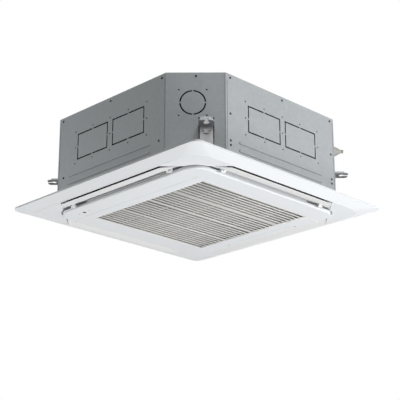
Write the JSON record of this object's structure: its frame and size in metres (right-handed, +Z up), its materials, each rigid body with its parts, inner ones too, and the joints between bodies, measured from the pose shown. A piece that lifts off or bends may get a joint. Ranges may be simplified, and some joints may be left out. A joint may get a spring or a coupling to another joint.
{
  "type": "ceiling cassette air conditioner",
  "caption": "Square four-way ceiling cassette with octagonal steel casing, white panel, slanted air slots with vanes, and a hinged intake grille over a turbo fan.",
  "frame": {"origin": "centre of the unit in the plane of the ceiling's lower surface, which is the top face of the panel's rim", "axes": "+Z up into the ceiling void; +X towards the grille's latched edge; -X towards its hinged edge; -Y towards the side with the electrical box"},
  "size_m": [0.95, 0.95, 0.3365],
  "materials": {
    "galvanised": "satin",
    "screw_steel": "satin",
    "liner_foam": "matte",
    "panel_foam": "matte",
    "pan_foam": "matte",
    "fins": "satin",
    "copper": "satin",
    "union_brass": "satin",
    "white_plastic": "satin",
    "louvre_plastic": "satin",
    "grey_plastic": "matte",
    "black_plastic": "satin",
    "filter_net": "matte",
    "hose_rubber": "matte",
    "drain_plastic": "satin",
    "soft_rubber": "matte",
    "motor_paint": "satin",
    "pin_steel": "polished",
    "board": "satin"
  },
  "bodies": {
    "cassette": {"top_plate": "galvanised", "side_plate_right": "galvanised", "side_plate_back": "galvanised", "side_plate_left": "galvanised", "side_plate_front": "galvanised", "corner_plate_back_right": "galvanised", "corner_plate_back_left": "galvanised", "corner_plate_front_left": "galvanised", "corner_plate_front_right": "galvanised", "hanger_brackets": "galvanised", "pipe_plate": "galvanised", "pump_bracket": "galvanised", "motor_hanger": "galvanised", "coil_end_plates": "galvanised", "control_box": "galvanised", "control_box_cover": "galvanised", "casing_screws": "screw_steel", "panel_screws": "screw_steel", "foam_liner": "liner_foam", "panel_foam": "panel_foam", "drain_pan": "pan_foam", "coil_fins": "fins", "coil_return_bends": "copper", "gas_pipe": "copper", "liquid_pipe": "copper", "flare_unions": "union_brass", "panel_frame": "white_plastic", "vane_bearings": "white_plastic", "hinge_brackets": "white_plastic", "latch_keepers": "white_plastic", "vane_motors": "white_plastic", "bell_mouth": "grey_plastic", "float_switch": "grey_plastic", "drain_pump": "grey_plastic", "terminal_block": "black_plastic", "drain_hose": "hose_rubber", "drain_nozzle": "drain_plastic", "cable_grommet": "soft_rubber", "motor_rubber_mounts": "soft_rubber", "fan_motor": "motor_paint", "circuit_board": "board"},
    "fan": {"fan_impeller": "grey_plastic", "fan_shaft": "screw_steel", "fan_nut": "screw_steel"},
    "float": {"float": "grey_plastic"},
    "vane_right": {"vane_right": "white_plastic"},
    "vane_back": {"vane_back": "white_plastic"},
    "vane_left": {"vane_left": "white_plastic"},
    "vane_front": {"vane_front": "white_plastic"},
    "grille": {"intake_grille": "white_plastic", "grille_louvre": "louvre_plastic", "filter_frame": "grey_plastic", "filter_net": "filter_net", "receiver_window": "black_plastic", "display_board": "board", "hinge_pins": "pin_steel"},
    "latch_front": {"latch_front": "white_plastic"},
    "latch_back": {"latch_back": "white_plastic"}
  },
  "joints": [
    {"name": "fan_spin", "type": "hinge", "parent": "cassette", "child": "fan", "pos_m": [0, 0, 0.2], "axis": [0, 0, 1], "continuous": true},
    {"name": "float_slide", "type": "slide", "parent": "cassette", "child": "float", "axis": [0, 0, 1], "range_m": [0, 0.01]},
    {"name": "vane_right_tilt", "type": "hinge", "parent": "cassette", "child": "vane_right", "pos_m": [0.37, 0, -0.022], "axis": [0, 1, 0], "range_deg": [-10, 33]},
    {"name": "vane_back_tilt", "type": "hinge", "parent": "cassette", "child": "vane_back", "pos_m": [0, 0.37, -0.022], "axis": [-1, 0, 0], "range_deg": [-10, 33]},
    {"name": "vane_left_tilt", "type": "hinge", "parent": "cassette", "child": "vane_left", "pos_m": [-0.37, 0, -0.022], "axis": [0, -1, 0], "range_deg": [-10, 33]},
    {"name": "vane_front_tilt", "type": "hinge", "parent": "cassette", "child": "vane_front", "pos_m": [0, -0.37, -0.022], "axis": [1, 0, 0], "range_deg": [-10, 33]},
    {"name": "grille_hinge", "type": "hinge", "parent": "cassette", "child": "grille", "pos_m": [-0.352, 0, -0.02], "axis": [0, 1, 0], "range_deg": [0, 90]},
    {"name": "latch_front_slide", "type": "slide", "parent": "grille", "child": "latch_front", "axis": [1, 0, 0], "range_m": [0, 0.006]},
    {"name": "latch_back_slide", "type": "slide", "parent": "grille", "child": "latch_back", "axis": [1, 0, 0], "range_m": [0, 0.006]}
  ]
}
